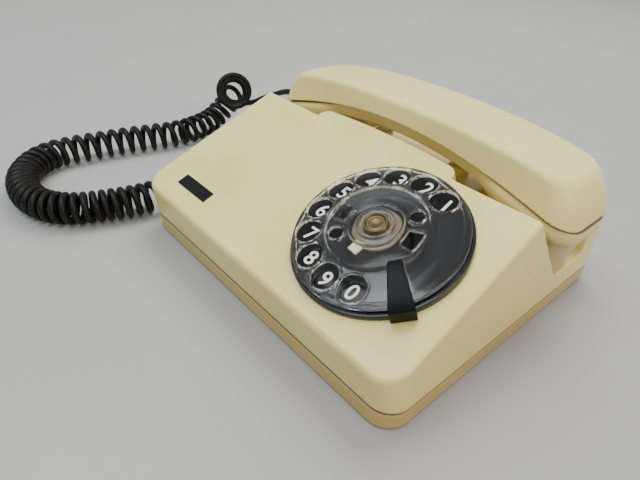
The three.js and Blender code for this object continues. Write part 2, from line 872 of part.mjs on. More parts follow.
function makeTerminalBlock() {
  let block = box(26, 9, 9, -24, -56, ON_BOARD + 4.5);
  for (let i = 0; i < 4; i += 1) {
    block = block.subtract(place(rod(1.8, 16, 24, 8), -33 + 6 * i, -56, 0));
  }
  return block;
}

function makeTransformer() {
  const core = box(20, 15, 9, -66, -62, ON_BOARD + 5.5);
  return core.add(box(12, 18, 12, -66, -62, ON_BOARD + 6));
}

const boardSolid = box(BOARD.width, BOARD.depth, BOARD.thick, BOARD.x, BOARD.y, BOARD.top - BOARD.thick / 2);
addMesh(phone, "circuit_board", boardSolid, PAPER_BOARD);
addMesh(phone, "transformer", makeTransformer(), COPPER);
addMesh(phone, "capacitor", place(alongX(rod(4.6, -10, 10)), -42, -71, ON_BOARD + 4.7), BLUE);
addMesh(phone, "terminal_block", makeTerminalBlock(), WHITE);

// ---------------------------------------------------------------- curly cord
// The strand leaves the handset, drops to a stray loop beside the phone, and the curly part lies on
// the table in one long bend and comes back along the left side.
const STRAND_FROM_HANDSET = [
  [-112.3, 35.2, 53.2],
  [-119, 35.2, 53],
  [-126, 35.2, 51.3],
  [-135, 35.2, 47.3],
  [-151.5, 35.2, 39.3],
  [-160, 36, 35],
  [-167, 36.4, 32.4],
  [-173.5, 34.6, 32],
  [-179, 31.5, 34],
];
const COIL_ROUTE = [
  [-184.7, 29.2, 35.9],
  [-189.3, 32.4, 34],
  [-193.4, 35, 31.2],
  [-196.8, 35.2, 27],
  [-198.6, 32.4, 22.4],
  [-199.2, 27.6, 18],
  [-198.6, 21.6, 14],
  [-197, 14.8, 11.2],
  [-194.6, 7.4, 10],
  [-191.8, -1.6, 10],
  [-189, -12, 10],
  [-189, -26, 10],
  [-192.5, -42, 10],
  [-196.5, -60, 10],
  [-199, -78, 10],
  [-201, -94, 10],
  [-201, -108, 10],
  [-196.5, -120, 10],
  [-188, -129.5, 10],
  [-177, -136.5, 10],
  [-164, -140.3, 10],
  [-150, -141, 10],
  [-137, -138, 10],
  [-126.5, -131, 10],
  [-119.5, -121, 10],
  [-115, -109, 10],
  [-111.5, -97, 10],
  [-109.3, -84, 10],
  [-108.6, -66, 10],
];
const STRAND_TO_HOUSING = [
  [-108.6, -65.6, 10],
  [-108.5, -59, 10.3],
  [-107.6, -52.5, 12.3],
  [-104.9, -47.3, 14.4],
  [-102.4, -46.1, 15],
  [-99.8, -46, 15],
];

addMesh(phone, "cord_strand_handset", tube(STRAND_FROM_HANDSET, CORD.radius, 8, 14), BLACK);
addMesh(phone, "cord_coil", tube(COIL_ROUTE, CORD.coilRadius, 10, 48), BLACK);
addMesh(phone, "cord_strand_housing", tube(STRAND_TO_HOUSING, CORD.radius, 8, 8), BLACK);

export default phone;
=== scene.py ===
"""A cream rotary desk telephone on a pale table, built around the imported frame.

The shells and the finger wheel are fields: functions that give the distance to a surface, joined
with rounded minimum and maximum, then turned into a mesh by skin(). Fields work in millimetres, as
the CAD does, and every object is made in metres.
"""

import json
import math

import bmesh
import bpy
import numpy as np
from mathutils import Matrix, Vector


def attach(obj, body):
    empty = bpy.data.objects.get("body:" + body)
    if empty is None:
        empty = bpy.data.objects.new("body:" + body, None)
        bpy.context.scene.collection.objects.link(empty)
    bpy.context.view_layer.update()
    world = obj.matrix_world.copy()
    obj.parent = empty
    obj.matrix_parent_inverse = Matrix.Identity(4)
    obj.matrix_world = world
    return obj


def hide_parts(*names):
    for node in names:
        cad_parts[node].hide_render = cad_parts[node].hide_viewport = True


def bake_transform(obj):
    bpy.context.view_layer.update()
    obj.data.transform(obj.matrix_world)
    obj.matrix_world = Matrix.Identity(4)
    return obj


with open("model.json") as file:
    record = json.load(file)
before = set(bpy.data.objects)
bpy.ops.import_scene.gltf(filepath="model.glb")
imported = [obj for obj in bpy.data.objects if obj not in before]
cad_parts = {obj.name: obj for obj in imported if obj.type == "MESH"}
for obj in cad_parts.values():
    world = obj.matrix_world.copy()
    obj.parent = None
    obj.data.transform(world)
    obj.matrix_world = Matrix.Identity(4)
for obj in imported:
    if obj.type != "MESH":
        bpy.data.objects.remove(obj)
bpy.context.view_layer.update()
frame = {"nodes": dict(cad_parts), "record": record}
nodes = frame["nodes"]

MM = 0.001

# ---------------------------------------------------------------- driving sizes, in millimetres
# housing and base pan
BODY_WIDTH, BODY_DEPTH, BODY_CORNER = 193.0, 174.0, 11.5
DRAFT = math.tan(math.radians(2.5))  # the walls draw in towards the top
FRONT_STEP, FRONT_LEAN, LEAN_HEIGHT = 0.25, 0.2, 24  # the front wall leans out instead
SEAM, SEAM_GAP = 10.6, 0.7  # between the housing and the base pan
WALL = 2.6
PAN_INSET, PAN_BOTTOM, PAN_FLOOR = 0.2, 0.5, 4
POSTS = ((-84, -72), (84, -72), (-40, 74), (40, 74))  # the housing's screws
POST_RADIUS, POST_BORE, SCREW_SOCKET, SCREW_SOCKET_TOP = 3.6, 1.8, 3.2, 3
FEET = {
    "front_left": (-76, -66),
    "front_right": (76, -66),
    "rear_left": (-76, 68),
    "rear_right": (76, 68),
}
FOOT_SOCKET, FOOT_SOCKET_TOP = 7.4, 2.6
SLOTS, SLOT_X, SLOT_Y, SLOT_PITCH, SLOT_HALF, SLOT_HALF_LENGTH = 4, 52, 20, 8, 1.5, 13

# top of the housing and the recess for the handset; a normal is (y, z)
LIP_Y, LIP_Z = -2.1, 67.8  # where the sloping top meets the plane of the recess
SLOPE = math.radians(23)
CREST_NORMAL, V_NORMAL, WELL_NORMAL = (0.9, 0.436), (0.783, 0.622), (0.955, 0.298)
CREST_BACK, CREST_BOW, CREST_TURN, V_FROM_X = 5.6, 0.0011, 5.3, 82
SADDLE_Z = 51.0
SADDLE_END, REAR_TOP = (56, SADDLE_Z), (84, 45)  # (y, z); the top falls from one to the other
BRIDGE_HALF = 47.0
RECESS_FLOOR = 24.4
WELL_REAR, WELL_REAR_DRAFT, WELL_END = (62, 29), 0.11, 92.4
NOTCH_FROM_X, NOTCH_FLARE_X, NOTCH_DROP = 86, 95.3, 0.4
PLUNGER_X, PLUNGER_HOLE, BOSS_RADIUS, BOSS_TOP = 28, 3.6, 6, 56.5
GLAND_Y, GLAND_Z, GLAND_HOLE = -46, 15, 3.7
INLET_X, INLET_Z, INLET_HOLE = -30, 15, 4.6

# label and dial
LABEL_X, LABEL_Y, LABEL_HALF, LABEL_HALF_DEPTH = -61.2, -76.6, 13.6, 3.7
DIAL = (45.1, -45.5, 49.4)
DIAL_TILT = math.radians(24.3)
DIAL_HOLE, DIAL_HOLE_HALF_DEPTH = 39.4, 14
WHEEL_RADIUS, WHEEL_BORE = 39.0, 6.7
HOLE_RADIUS, HOLE_RING, HOLE_PITCH, HOLE_FIRST = 6.0, 30.9, 25.5, 64.4
EYE_RADIUS, EYE_RING, EYE_ANGLE = 3.5, 17.6, math.radians(49.5)  # two round holes near the hub
WINDOW_IN, WINDOW_OUT, WINDOW_ANGLE, WINDOW_SPREAD = 14.4, 21.4, math.radians(9.5), 0.25
COLLAR_RADIUS, EYE_COLLAR_RADIUS, COLLAR_HALF_WALL = 6.85, 3.9, 0.6

# handset and cord
HANDSET_HALF, HANDSET_Y, HANDSET_HALF_WIDTH, HANDSET_CORNER = 101.2, 35.2, 24.1, 13.0
HANDSET_WALL = 2.4
HANDSET_SCREW_X, HANDSET_POST, HANDSET_POST_BORE, HANDSET_SCREW_HOLE = 45, 3.4, 1.6, 2.9
PARTING_TOP, PARTING_DROP = 75.4, 18.7
CROWN_TOP = 86.3
TRAY_INSET_X, TRAY_INSET_Y, TRAY_DEPTH = 1.1, 3.4, 7.4
CUP_X, CUP_FOOT, CUP_HALF, CUP_HALF_WIDTH = 76.0, 25, 18.5, 17.6
CUP_REAR_CORNER, CUP_FRONT_CORNER = 12, 17.4
CORD_EXIT_Z, CORD_EXIT_HOLE = 53.2, 2.6
STRAND_RADIUS = 2.05
HELIX_RADIUS = 7.85

# ---------------------------------------------------------------- fields


def round_max(a, b, r):
    """What is in both fields, with their common edge rounded to radius r."""
    inner = np.minimum(np.maximum(a, b), -r)
    return inner + np.hypot(np.maximum(a + r, 0), np.maximum(b + r, 0))


def round_min(a, b, r):
    """What is in either field, with the hollow between them filled to radius r."""
    return -round_max(-a, -b, r)


def rounded_rect(x, y, half_x, half_y, corner):
    """Distance from a rectangle with round corners, centred on the origin."""
    qx = np.abs(x) - half_x + corner
    qy = np.abs(y) - half_y + corner
    beyond = np.hypot(np.maximum(qx, 0), np.maximum(qy, 0))
    return beyond + np.minimum(np.maximum(qx, qy), 0) - corner


def plane(y, z, start, end):
    """Distance from a plane that runs along X through two (y, z) points, positive above it."""
    dy, dz = end[0] - start[0], end[1] - start[1]
    return ((z - start[1]) * dy - (y - start[0]) * dz) / math.hypot(dy, dz)


def in_dial(x, y, z):
    """The coordinates in the dial's own tilted frame."""
    s, c = math.sin(DIAL_TILT), math.cos(DIAL_TILT)
    dy, dz = y - DIAL[1], z - DIAL[2]
    return x - DIAL[0], dy * c + dz * s, dz * c - dy * s


def gradient(field, point, e=0.02):
    """The field's slope and value at each point."""
    value = field(*point.T)
    ahead = [field(*(point + e * axis).T) for axis in np.eye(3)]
    return (np.stack(ahead, 1) - value[:, None]) / e, value


def skin(field, low, high, cell):
    """The surface of a field: a vertex in each grid cell it crosses, moved on to the surface."""
    margin, reach, rounds = 1.37 * cell, 0.55 * cell, 6
    low = np.array(low, float) - margin
    steps = [int(math.ceil((b + 1.5 * cell - a) / cell)) for a, b in zip(low, high)]
    axes = [a + cell * np.arange(n + 1) for a, n in zip(low, steps)]
    inside = field(*np.meshgrid(*axes, indexing="ij")) < 0
    corners = [
        inside[i : i + steps[0], j : j + steps[1], k : k + steps[2]]
        for i in (0, 1)
        for j in (0, 1)
        for k in (0, 1)
    ]
    count = np.sum(corners, axis=0)
    active = (count > 0) & (count < 8)
    number = np.full(active.shape, -1)
    number[active] = np.arange(active.sum())
    centre = low + (np.argwhere(active) + 0.5) * cell
    point = centre.copy()
    for _ in range(rounds):
        slope, value = gradient(field, point)
        size = np.maximum((slope**2).sum(1), 0.05)
        point -= slope * (np.clip(value, -cell, cell) / size)[:, None]
        point = np.clip(point, centre - reach, centre + reach)
    quads = []
    for axis in range(3):
        a, b = np.roll(inside, -1, axis), inside
        cut = a != b
        cut = np.delete(cut, -1, axis)
        where = np.argwhere(cut)
        j, k = [i for i in range(3) if i != axis]
        off_low = (where[:, j] > 0) & (where[:, k] > 0)
        off_high = (where[:, j] < steps[j]) & (where[:, k] < steps[k])
        where = where[off_low & off_high]
        around = []
        for dj, dk in ((0, 0), (1, 0), (1, 1), (0, 1)):
            cell_at = where.copy()
            cell_at[:, j] -= dj
            cell_at[:, k] -= dk
            around.append(number[tuple(cell_at.T)])
        face = np.stack(around, 1)
        outward = inside[tuple(where.T)]
        if axis == 1:
            outward = ~outward
        face[~outward] = face[~outward][:, ::-1]
        quads.append(face)
    return point, np.concatenate(quads)


def mesh_object(name, points, faces, smooth=True):
    """A new object from points in millimetres."""
    data = bpy.data.meshes.new(name)
    faces = faces.tolist() if hasattr(faces, "tolist") else faces
    data.from_pydata((np.asarray(points) * MM).tolist(), [], faces)
    data.update()
    if smooth:
        data.polygons.foreach_set("use_smooth", [True] * len(data.polygons))
    made = bpy.data.objects.new(name, data)
    bpy.context.scene.collection.objects.link(made)
    return made


def field_object(name, field, low, high, cell):
    """A mesh of a field whose shading follows the field itself."""
    points, faces = skin(field, low, high, cell)
    made = mesh_object(name, points, faces)
    normal = gradient(field, points, 0.15)[0]
    normal /= np.maximum(np.linalg.norm(normal, axis=1, keepdims=True), 1e-6)
    made.data.normals_split_custom_set_from_vertices(normal.tolist())
    return made


# ---------------------------------------------------------------- housing and base pan
def body_plan(x, y, z):
    """The walls draw in towards the top, but the front leans out over the base."""
    lean = DRAFT * (z - SEAM)
    over = FRONT_STEP + FRONT_LEAN / 2 * np.clip(z - SEAM, 0, LEAN_HEIGHT)
    half_depth = BODY_DEPTH / 2 + over - lean
    return rounded_rect(x, y + over, BODY_WIDTH / 2 - lean, half_depth, BODY_CORNER)


def roof(x, y, z):
    """The top of the housing: a slope up to a curved crest, the saddle behind it and the rear."""
    turn = CREST_TURN
    past = np.clip(np.abs(x) - (BRIDGE_HALF - turn), 0, turn)
    bow = CREST_BACK - CREST_BOW * np.minimum(np.abs(x), BRIDGE_HALF) ** 2
    crest_y = bow - turn + np.sqrt(turn**2 - past**2)
    crest_z = LIP_Z + (crest_y - LIP_Y) * math.tan(SLOPE)
    slope = plane(y, z, (LIP_Y, LIP_Z), (LIP_Y + 50, LIP_Z + 50 * math.tan(SLOPE)))
    over_well = np.abs(x) > V_FROM_X
    back_y, back_z = (np.where(over_well, v, crest) for v, crest in zip(V_NORMAL, CREST_NORMAL))
    back = (y - crest_y) * back_y + (z - crest_z) * back_z
    wedge = round_max(slope, back, 1.5)
    rear = np.maximum(round_max(z - SADDLE_Z, plane(y, z, SADDLE_END, REAR_TOP), 8), -y)
    return round_min(wedge, rear, 3)


def recess(x, y, z):
    """The two wells for the handset's cups, open at the sides above a V."""
    across = np.abs(x)
    front = -((y - LIP_Y) * WELL_NORMAL[0] + (z - LIP_Z) * WELL_NORMAL[1])
    rear = (y - WELL_REAR[0]) - WELL_REAR_DRAFT * (z - WELL_REAR[1])
    floor = RECESS_FLOOR - z
    well = round_max(round_max(front, rear, 2), floor, 4)
    outer = WELL_END - 0.5 * np.maximum(z - 53, 0)
    ends = round_max(BRIDGE_HALF - across + 0.04 * (z - 60), across - outer, 3)
    well = round_max(well, ends, 3)
    notch_front = -((y - LIP_Y) * V_NORMAL[0] + (z - LIP_Z) * V_NORMAL[1])
    notch_front -= np.clip(NOTCH_FLARE_X - across, 0, 5) * np.clip((60 - z) / 20, 0, 0.9)
    notch = round_max(round_max(notch_front, rear, 2), floor - NOTCH_DROP, 3)
    notch = np.maximum(notch, NOTCH_FROM_X - across)
    return round_min(well, notch, 1.2)


def housing_outside(x, y, z):
    """The housing as a solid, with the bosses of the two plungers on the bridge."""
    outside = round_max(body_plan(x, y, z), roof(x, y, z), 2.2)
    for side in (-1, 1):
        boss = np.hypot(x - PLUNGER_X * side, y - HANDSET_Y)
        outside = round_min(outside, round_max(boss - BOSS_RADIUS, z - BOSS_TOP, 1), 1.5)
    return round_max(outside, -recess(x, y, z), 1.3)


def housing_field(x, y, z):
    """A thin shell with screw posts and openings for the dial, the plungers and the cords."""
    outside = housing_outside(x, y, z)
    shell = np.maximum(outside, -(outside + WALL))
    for px, py in POSTS:
        post = np.hypot(x - px, y - py)
        post = np.maximum(np.maximum(post - POST_RADIUS, outside), POST_BORE - post)
        shell = np.minimum(shell, post)
    shell = round_max(shell, SEAM - z, 1.2)
    dx, dy, dz = in_dial(x, y, z)
    spread = np.hypot(dx, dy)
    near = np.abs(dz) - DIAL_HOLE_HALF_DEPTH
    shell = round_max(shell, -np.maximum(spread - DIAL_HOLE, near), 0.5)
    for side in (-1, 1):
        hole = np.hypot(x - PLUNGER_X * side, y - HANDSET_Y) - PLUNGER_HOLE
        shell = np.maximum(shell, -np.maximum(hole, 40 - z))
    gland = np.maximum(np.hypot(y - GLAND_Y, z - GLAND_Z) - GLAND_HOLE, x + 80)
    inlet = np.maximum(np.hypot(x - INLET_X, z - INLET_Z) - INLET_HOLE, 74 - y)
    return np.maximum(shell, -np.minimum(gland, inlet))


def base_pan_field(x, y, z):
    """An open tray with four sockets for the feet, four for the screws and four slots."""
    over = 0.025 * z
    half_depth = BODY_DEPTH / 2 - PAN_INSET + over
    plan = rounded_rect(x, y + over, BODY_WIDTH / 2 - PAN_INSET, half_depth, BODY_CORNER)
    tray = round_max(round_max(plan, PAN_BOTTOM - z, 1.0), z - SEAM + SEAM_GAP, 1.1)
    tray = round_max(tray, -round_max(plan + WALL, PAN_FLOOR - z, 2), 0.6)
    for px, py in FEET.values():
        socket = np.hypot(x - px, y - py) - FOOT_SOCKET
        tray = np.maximum(tray, -np.maximum(socket, z - FOOT_SOCKET_TOP))
    for px, py in POSTS:
        socket = np.hypot(x - px, y - py) - SCREW_SOCKET
        tray = np.maximum(tray, -np.maximum(socket, z - SCREW_SOCKET_TOP))
    for i in range(SLOTS):
        slot = np.abs(x - SLOT_X - SLOT_PITCH * i) - SLOT_HALF
        slot = np.maximum(slot, np.abs(y - SLOT_Y) - SLOT_HALF_LENGTH)
        tray = np.maximum(tray, -slot)
    return tray


# ---------------------------------------------------------------- handset
def parting(x):
    """The height of the curved line where the handset's shells meet."""
    t = np.minimum((x / HANDSET_HALF) ** 2, 1.2)
    return PARTING_TOP - PARTING_DROP * (1.12 * t - 0.12 * t**2)


def crown(x, across):
    """The height of the handset's top."""
    t = (x / HANDSET_HALF) ** 2
    return CROWN_TOP - 6.3 * t - 5.5 * t**2 - 0.9 * (across / 21) ** 2


def handset_upper_outside(x, y, z):
    """A shell whose ends and sides draw in above the parting line."""
    across = y - HANDSET_Y
    height = np.maximum(z - parting(x), 0)
    end = 0.08 * height + 0.026 * height**2
    half_width = HANDSET_HALF_WIDTH - 0.2 * height
    plan = rounded_rect(x, across, HANDSET_HALF - end, half_width, HANDSET_CORNER)
    return round_max(plan, z - crown(x, across), 2.3)


def handset_upper_field(x, y, z):
    outside = handset_upper_outside(x, y, z)
    shell = np.maximum(outside, -(outside + HANDSET_WALL))
    for side in (-1, 1):
        post = np.hypot(x - HANDSET_SCREW_X * side, y - HANDSET_Y)
        post = np.maximum(np.maximum(post - HANDSET_POST, outside), HANDSET_POST_BORE - post)
        shell = np.minimum(shell, post)
    return round_max(shell, (parting(x) - z) * 0.97, 0.7)


def handset_lower_outside(x, y, z):
    """A shallow tray under the parting line, with a tapered cup near each end."""
    across = y - HANDSET_Y
    depth = np.maximum(parting(x) - z, -3)
    lean = 0.1 * depth
    half, half_width = HANDSET_HALF - TRAY_INSET_X - lean, HANDSET_HALF_WIDTH - TRAY_INSET_Y - lean
    plan = rounded_rect(x, across, half, half_width, HANDSET_CORNER - 1.5)
    under = np.maximum(63.6 - 0.0014 * x**2, parting(x) - 13)
    band = round_max(plan, parting(x) - TRAY_DEPTH - z, 1.2)
    tray = round_min(band, round_max(plan + 8, under - z, 3), 1)
    climb = z - 27
    corner = np.where(across > 0, CUP_REAR_CORNER, CUP_FRONT_CORNER)
    half, half_width = CUP_HALF + 0.2 * climb, CUP_HALF_WIDTH + 0.15 * climb
    cup_plan = rounded_rect(np.abs(x) - CUP_X, across, half, half_width, corner)
    cup = round_max(round_max(cup_plan, CUP_FOOT - z, 2.6), z - parting(x) + 4, 1)
    return round_min(tray, cup, 8)


def below_rim(x, z):
    """How far a point is under the lower shell's rim; the gap above it widens at the ends."""
    return parting(x) - 0.5 - 0.6 * (x / HANDSET_HALF) ** 4 - z


def handset_lower_field(x, y, z):
    outside = round_max(handset_lower_outside(x, y, z), -0.97 * below_rim(x, z), 0.7)
    inside = handset_lower_outside(x, y, z) + HANDSET_WALL
    shell = round_max(outside, -inside, 0.4)
    for side in (-1, 1):
        screw = np.hypot(x - HANDSET_SCREW_X * side, y - HANDSET_Y)
        shell = np.maximum(shell, -np.maximum(screw - HANDSET_SCREW_HOLE, z - 62))
    bush = np.maximum(np.hypot(y - HANDSET_Y, z - CORD_EXIT_Z) - CORD_EXIT_HOLE, x + 90)
    return np.maximum(shell, -bush)


# ---------------------------------------------------------------- finger wheel, in the dial's frame
# (radius, height) of its top and of its underside
WHEEL_TOP = (
    (0, 11.5), (7.6, 11.5), (8.2, 12.0), (8.8, 11.3), (11.2, 11.1), (11.9, 11.7), (12.7, 10.8),
    (22.2, 10.4), (22.8, 10.7), (23.5, 9.3), (35.9, 6.9), (36.4, 7.4), (39, 6.2),
)
WHEEL_UNDER = ((0, 9.6), (21.6, 9.0), (22.8, 8.2), (23.4, 7.7), (36.8, 5.3), (39, 4.9))
HOLE_ANGLES = [math.radians(HOLE_FIRST + HOLE_PITCH * i) for i in range(10)]


def wheel_field(x, y, z):
    """A dished disc with ten finger holes in collars, two round holes and two windows."""
    spread = np.hypot(x, y)
    top = np.interp(spread, *zip(*WHEEL_TOP))
    under = np.interp(spread, *zip(*WHEEL_UNDER))
    wheel = round_max(round_max(z - top, under - z, 0.5), spread - WHEEL_RADIUS, 0.7)
    wheel = round_max(wheel, WHEEL_BORE - spread, 0.3)
    for angle in HOLE_ANGLES:
        hole = np.hypot(x - HOLE_RING * math.cos(angle), y - HOLE_RING * math.sin(angle))
        height = np.maximum(z - top - 0.45, under + 0.5 - z)
        collar = round_max(np.abs(hole - COLLAR_RADIUS) - COLLAR_HALF_WALL, height, 0.3)
        wheel = np.minimum(round_max(wheel, HOLE_RADIUS + 0.3 - hole, 0.3), collar)
    for turn in (0, math.pi):
        angle = EYE_ANGLE + turn
        hole = np.hypot(x - EYE_RING * math.cos(angle), y - EYE_RING * math.sin(angle))
        ring = np.abs(hole - EYE_COLLAR_RADIUS) - COLLAR_HALF_WALL
        collar = round_max(ring, np.maximum(z - 11.1, 9 - z), 0.25)
        wheel = np.minimum(round_max(wheel, EYE_RADIUS - hole, 0.3), collar)
        middle = WINDOW_ANGLE + turn
        along = x * math.cos(middle) + y * math.sin(middle)
        side = np.abs(y * math.cos(middle) - x * math.sin(middle))
        band = round_max(WINDOW_IN - spread, spread - WINDOW_OUT, 0.6)
        window = round_max(band, side - WINDOW_SPREAD * along, 0.6)
        rim = round_max(np.abs(window - 0.4) - 0.45, np.maximum(z - 11, 9 - z), 0.25)
        rim = np.maximum(rim, -along)
        wheel = np.minimum(np.maximum(wheel, -np.maximum(window, -along)), rim)
    return wheel


# ---------------------------------------------------------------- other shapes
DIAL_PLACE = Matrix.Translation(Vector(DIAL) * MM) @ Matrix.Rotation(DIAL_TILT, 4, "X")


def lathe(name, outline, turns=96):
    """A body of revolution about Z from a closed outline of (radius, height) points."""
    points, faces, rings = [], [], []
    for r, z in outline:
        if r < 1e-6:
            rings.append([len(points)] * turns)
            points.append((0, 0, z))
            continue
        rings.append(list(range(len(points), len(points) + turns)))
        angles = [2 * math.pi * i / turns for i in range(turns)]
        points += [(r * math.cos(a), r * math.sin(a), z) for a in angles]
    for a, b in zip(rings, rings[1:] + rings[:1]):
        for i in range(turns):
            loop = (a[i], a[(i + 1) % turns], b[(i + 1) % turns], b[i])
            face = tuple(dict.fromkeys(loop))
            if len(face) > 2:
                faces.append(face)
    made = mesh_object(name, points, faces)
    made.data.validate()
    fix_normals(made)
    return made


def fix_normals(obj):
    """Merges doubled points and turns every face outwards."""
    work = bmesh.new()
    work.from_mesh(obj.data)
    bmesh.ops.remove_doubles(work, verts=work.verts, dist=1e-7)
    bmesh.ops.recalc_face_normals(work, faces=work.faces)
    work.to_mesh(obj.data)
    work.free()


def prism(name, outline, low, high):
    """A straight prism of an (x, y) outline between two heights."""
    n = len(outline)
    points = [(x, y, low) for x, y in outline] + [(x, y, high) for x, y in outline]
    faces = [tuple(reversed(range(n))), tuple(range(n, 2 * n))]
    faces += [(i, (i + 1) % n, n + (i + 1) % n, n + i) for i in range(n)]
    made = mesh_object(name, points, faces, smooth=False)
    fix_normals(made)
    return made


def bevel(obj, width, segments=3, angle=30):
    """Rounds the edges sharper than an angle; the width is in millimetres."""
    made = obj.modifiers.new("bevel", "BEVEL")
    made.width = width * MM
    made.segments = segments
    made.limit_method = "ANGLE"
    made.angle_limit = math.radians(angle)
    made.harden_normals = True
    return obj


def place_in_dial(obj):
    """Moves a piece from the dial's own frame to its place."""
    obj.data.transform(DIAL_PLACE)
    return obj


def dress(obj, material, body, slot, *replaced):
    """Gives a piece its material and its body, and hides the CAD nodes that it stands for; the slot
    is not used.
    """
    obj.data.materials.append(material)
    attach(obj, body)
    if replaced:
        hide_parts(*replaced)


# ---------------------------------------------------------------- routes
def smooth_route(points, step):
    """A Catmull-Rom curve through the points, resampled at an even step."""
    p = np.array(points, float)
    p = np.vstack([2 * p[0] - p[1], p, 2 * p[-1] - p[-2]])
    t = np.linspace(0, 1, 40, endpoint=False)[:, None]
    fine = []
    for a, b, c, d in zip(p, p[1:], p[2:], p[3:]):
        square, cube = 2 * a - 5 * b + 4 * c - d, 3 * b - a - 3 * c + d
        fine.append(0.5 * (2 * b + (c - a) * t + square * t**2 + cube * t**3))
    fine = np.vstack([*fine, p[-2:-1]])
    return even(fine, step)


def even(points, step):
    """The same route with its points at an even step."""
    run = np.concatenate([[0], np.cumsum(np.linalg.norm(np.diff(points, axis=0), axis=1))])
    at = np.linspace(0, run[-1], max(2, round(run[-1] / step) + 1))
    return np.stack([np.interp(at, run, points[:, i]) for i in range(3)], 1)


def directions(points):
    """The unit direction at each point of a route."""
    d = np.gradient(points, axis=0)
    return d / np.linalg.norm(d, axis=1, keepdims=True)


def frames(points, first):
    """Two normals at each point of a route, carried along it without twist."""
    along = directions(points)
    normal = np.zeros_like(points)
    n = np.array(first, float)
    for i, d in enumerate(along):
        n = n - d * (n @ d)
        n /= np.linalg.norm(n)
        normal[i] = n
    return normal, np.cross(along, normal)


def tube(name, points, radius, sides):
    """A closed tube along a route."""
    normal, side = frames(points, (0.3, 0.2, 1))
    around = np.linspace(0, 2 * math.pi, sides, endpoint=False)
    cos, sin = np.cos(around)[None, :, None], np.sin(around)[None, :, None]
    ring = cos * normal[:, None] + sin * side[:, None]
    skin_points = (points[:, None] + radius * ring).reshape(-1, 3)
    i, j = np.meshgrid(np.arange(len(points) - 1), np.arange(sides), indexing="ij")
    a, b = i * sides + j, i * sides + (j + 1) % sides
    faces = np.stack([a, b, b + sides, a + sides], 2).reshape(-1, 4).tolist()
    last = (len(points) - 1) * sides
    faces += [list(reversed(range(sides))), list(range(last, last + sides))]
    return mesh_object(name, skin_points, faces)


# ---------------------------------------------------------------- camera
CAMERA_AT = (0.15674, -0.18918, 0.1718)  # metres
CAMERA_TURN = (46.12, 34.82, 4.52)  # azimuth, elevation and roll in degrees
CAMERA_LENS, CAMERA_SENSOR = 27.92, 36


def make_camera():
    azimuth, elevation, roll = (math.radians(a) for a in CAMERA_TURN)
    level = math.cos(elevation)
    back = Vector((math.sin(azimuth) * level, -math.cos(azimuth) * level, math.sin(elevation)))
    right = Vector((0, 0, 1)).cross(back).normalized()
    up = back.cross(right)
    turned_right = right * math.cos(roll) + up * math.sin(roll)
    turned_up = up * math.cos(roll) - right * math.sin(roll)
    data = bpy.data.cameras.new("camera")
    data.lens, data.sensor_width = CAMERA_LENS, CAMERA_SENSOR
    data.clip_start, data.clip_end = 0.01, 20
    camera = bpy.data.objects.new("camera", data)
    turned = Matrix((turned_right, turned_up, back)).transposed().to_4x4()
    camera.matrix_world = Matrix.Translation(CAMERA_AT) @ turned
    bpy.context.scene.collection.objects.link(camera)
    bpy.context.scene.camera = camera


make_camera()

# ---------------------------------------------------------------- handset cord
STRAND_FROM_HANDSET = [
    (-111.8, 35.2, 53.2),
    (-119, 35.2, 53),
    (-126, 35.2, 51.3),
    (-135, 35.2, 47.3),
    (-151.5, 35.2, 39.3),
    (-160, 36, 34.6),
    (-167, 37.3, 31),
    (-172.5, 37.2, 28.6),
]
COIL_ROUTE = [
    (-184.7, 29.2, 35.9),
    (-189.3, 32.4, 34),
    (-193.4, 35, 31.2),
    (-196.8, 35.2, 27),
    (-198.6, 32.4, 22.4),
    (-199.2, 27.6, 18),
    (-198.6, 21.6, 14),
    (-197, 14.8, 11.2),
    (-194.6, 7.4, 10),
    (-191.8, -1.6, 10),
    (-189, -12, 10),
    (-189, -26, 10),
    (-192.5, -42, 10),
    (-196.5, -60, 10),
    (-199, -78, 10),
    (-201, -94, 10),
    (-201, -108, 10),
    (-196.5, -120, 10),
    (-188, -129.5, 10),
    (-177, -136.5, 10),
    (-164, -140.3, 10),
    (-150, -141, 10),
    (-137, -138, 10),
    (-126.5, -131, 10),
    (-119.5, -121, 10),
    (-115, -109, 10),
    (-111.5, -97, 10),
    (-109.3, -84, 10),
    (-108.6, -66, 10),
]
STRAND_TO_HOUSING = [
    (-108.6, -61, 3),
    (-108.4, -55.5, 5.6),
    (-107.4, -50.6, 9.4),
    (-105.2, -47.5, 12.8),
    (-102.4, -46.2, 14.6),
    (-97.5, -46, 15),
]
# the coil's pitch at distances along its route
PITCH = [
    (0, 5.5), (22, 7), (45, 7), (60, 8.2), (150, 8), (190, 6.2),
    (215, 5.3), (290, 5.3), (320, 6.4), (340, 7.8), (420, 7.8),
]
# the coil's radius at distances along its route: one stray wide turn, then the helix
COIL_RADIUS = [(0, 12.6), (5, 12.3), (11, 8.6), (18, HELIX_RADIUS)]
COIL_FADE = 14  # over which the last turn runs out
STRAND_STEP, CORD_STEP = 0.5, 2.2


